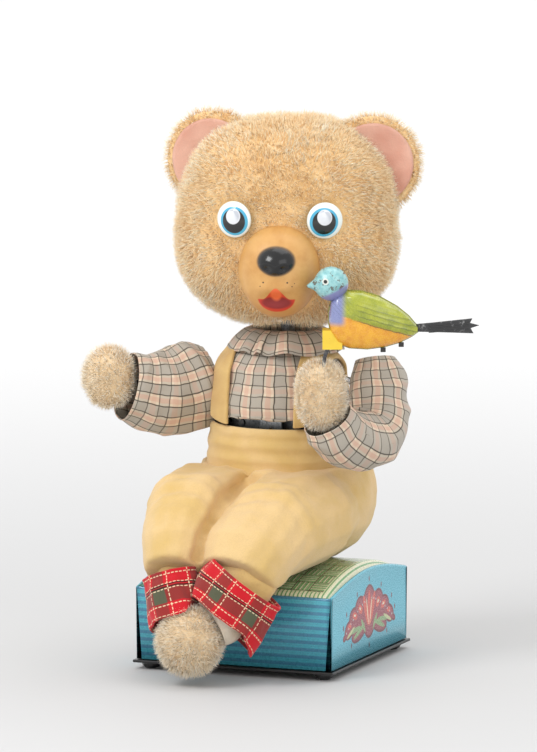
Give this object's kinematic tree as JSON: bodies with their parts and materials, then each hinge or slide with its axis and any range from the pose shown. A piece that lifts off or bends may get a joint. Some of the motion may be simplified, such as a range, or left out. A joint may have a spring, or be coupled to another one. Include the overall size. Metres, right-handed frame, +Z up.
{
  "type": "wind up tin toy",
  "caption": "Clockwork plush-headed bear in plaid shirt and felt overalls, seated on a printed tin box and holding a tin bird; head and arms move.",
  "frame": {"origin": "middle of the whole toy, on the surface that it stands on", "axes": "+Z up, the bear faces -Y, +X is to its left"},
  "size_m": [0.1418, 0.1314, 0.1901],
  "materials": {
    "litho_tin": "printed gloss tin",
    "seat_tin": "printed gloss tin",
    "black_tin": "semi-gloss black",
    "casing_tin": "semi-gloss black",
    "steel": "plain",
    "brass": "plain",
    "spring_steel": "blued",
    "plush": "mohair plush",
    "paw_plush": "mohair plush",
    "pink_felt": "felt",
    "white_felt": "felt",
    "vinyl": "painted soft vinyl",
    "eye_plastic": "printed gloss",
    "pressed_card": "pressed",
    "plaid_cotton": "woven plaid",
    "yellow_felt": "felt",
    "tartan_cotton": "woven tartan",
    "bird_blue": "gloss enamel",
    "bird_green": "gloss enamel",
    "bird_black": "worn enamel",
    "bird_yellow": "gloss enamel"
  },
  "bodies": {
    "base": {"box_shell": "litho_tin", "seat_top": "seat_tin", "base_plate": "black_tin", "foot_pad_front_right": "black_tin", "foot_pad_front_left": "black_tin", "foot_pad_rear_right": "black_tin", "foot_pad_rear_left": "black_tin", "torso_shell_front": "casing_tin", "torso_shell_rear": "casing_tin", "shirt_body": "plaid_cotton", "shirt_collar": "plaid_cotton", "overalls": "yellow_felt", "overalls_waistband": "yellow_felt", "strap_right": "yellow_felt", "strap_left": "yellow_felt", "cuff_left": "tartan_cotton", "cuff_right": "tartan_cotton", "foot_right": "paw_plush", "foot_left": "white_felt", "frame_plate_front": "steel", "frame_plate_rear": "steel", "pillar_lower_right": "steel", "pillar_lower_left": "steel", "pillar_upper_right": "steel", "pillar_upper_left": "steel", "mainspring": "spring_steel", "click": "steel", "lever_pivot": "steel"},
    "key": {"winding_arbor": "steel", "winding_key": "steel"},
    "great_wheel_set": {"great_wheel": "brass"},
    "second_wheel_set": {"second_arbor": "steel", "second_wheel": "brass", "crank_disc": "brass"},
    "governor_set": {"governor_arbor": "steel", "governor_weight": "steel"},
    "lever": {"drive_lever": "steel"},
    "head": {"head_plush": "plush", "head_form": "pressed_card", "muzzle": "vinyl", "eye_right": "eye_plastic", "eye_left": "eye_plastic", "ear_right": "plush", "ear_left": "plush", "ear_lining_right": "pink_felt", "ear_lining_left": "pink_felt", "neck_post": "steel"},
    "right_arm": {"arm_rod_right": "steel", "sleeve_right": "plaid_cotton", "paw_right": "paw_plush"},
    "left_arm": {"arm_rod_left": "steel", "sleeve_left": "plaid_cotton", "paw_left": "paw_plush", "bird_wire": "steel", "bird_perch": "bird_yellow", "bird_body_right": "bird_green", "bird_body_left": "bird_green"},
    "bird_head_set": {"bird_head": "bird_blue"},
    "bird_tail_set": {"bird_tail": "bird_black"}
  },
  "joints": [
    {"name": "key_turn", "type": "hinge", "parent": "base", "child": "key", "pos_m": [-0.00938, 0.04278, 0.058], "axis": [0, 1, 0], "continuous": true},
    {"name": "great_wheel_spin", "type": "hinge", "parent": "base", "child": "great_wheel_set", "pos_m": [-0.00938, 0.01618, 0.058], "axis": [0, 1, 0], "continuous": true},
    {"name": "second_wheel_spin", "type": "hinge", "parent": "base", "child": "second_wheel_set", "pos_m": [-0.00938, 0.01178, 0.07615], "axis": [0, 1, 0], "continuous": true},
    {"name": "governor_spin", "type": "hinge", "parent": "base", "child": "governor_set", "pos_m": [-0.0199, 0.01178, 0.08223], "axis": [0, 1, 0], "continuous": true},
    {"name": "lever_rock", "type": "hinge", "parent": "base", "child": "lever", "pos_m": [-0.00738, -0.00102, 0.062], "axis": [0, 1, 0], "range_deg": [-12, 1.5]},
    {"name": "head_turn", "type": "hinge", "parent": "base", "child": "head", "pos_m": [-0.00738, 0.01478, 0.118], "axis": [0, 0, 1], "range_deg": [-28, 2]},
    {"name": "right_arm_swing", "type": "hinge", "parent": "base", "child": "right_arm", "pos_m": [-0.03338, 0.01078, 0.098], "axis": [1, 0, 0], "range_deg": [-17, 2]},
    {"name": "left_arm_swing", "type": "hinge", "parent": "base", "child": "left_arm", "pos_m": [0.01462, 0.01078, 0.098], "axis": [1, 0, 0], "range_deg": [-1, 6]},
    {"name": "bird_head_nod", "type": "hinge", "parent": "left_arm", "child": "bird_head_set", "pos_m": [0.0234, -0.02345, 0.137], "axis": [-0.3633, 0.9317, 0], "range_deg": [-8, 8]},
    {"name": "bird_tail_flap", "type": "hinge", "parent": "left_arm", "child": "bird_tail_set", "pos_m": [0.04875, -0.01357, 0.1216], "axis": [-0.3633, 0.9317, 0], "range_deg": [-8, 8]}
  ],
  "couplings": [
    {"joint": "second_wheel_spin", "follows": "great_wheel_spin", "ratio": -4},
    {"joint": "governor_spin", "follows": "great_wheel_spin", "ratio": 12},
    {"joint": "lever_rock", "follows": "head_turn", "ratio": 0.4},
    {"joint": "right_arm_swing", "follows": "head_turn", "ratio": 0.6},
    {"joint": "left_arm_swing", "follows": "head_turn", "ratio": -0.2},
    {"joint": "bird_tail_flap", "follows": "bird_head_nod", "ratio": -1}
  ]
}
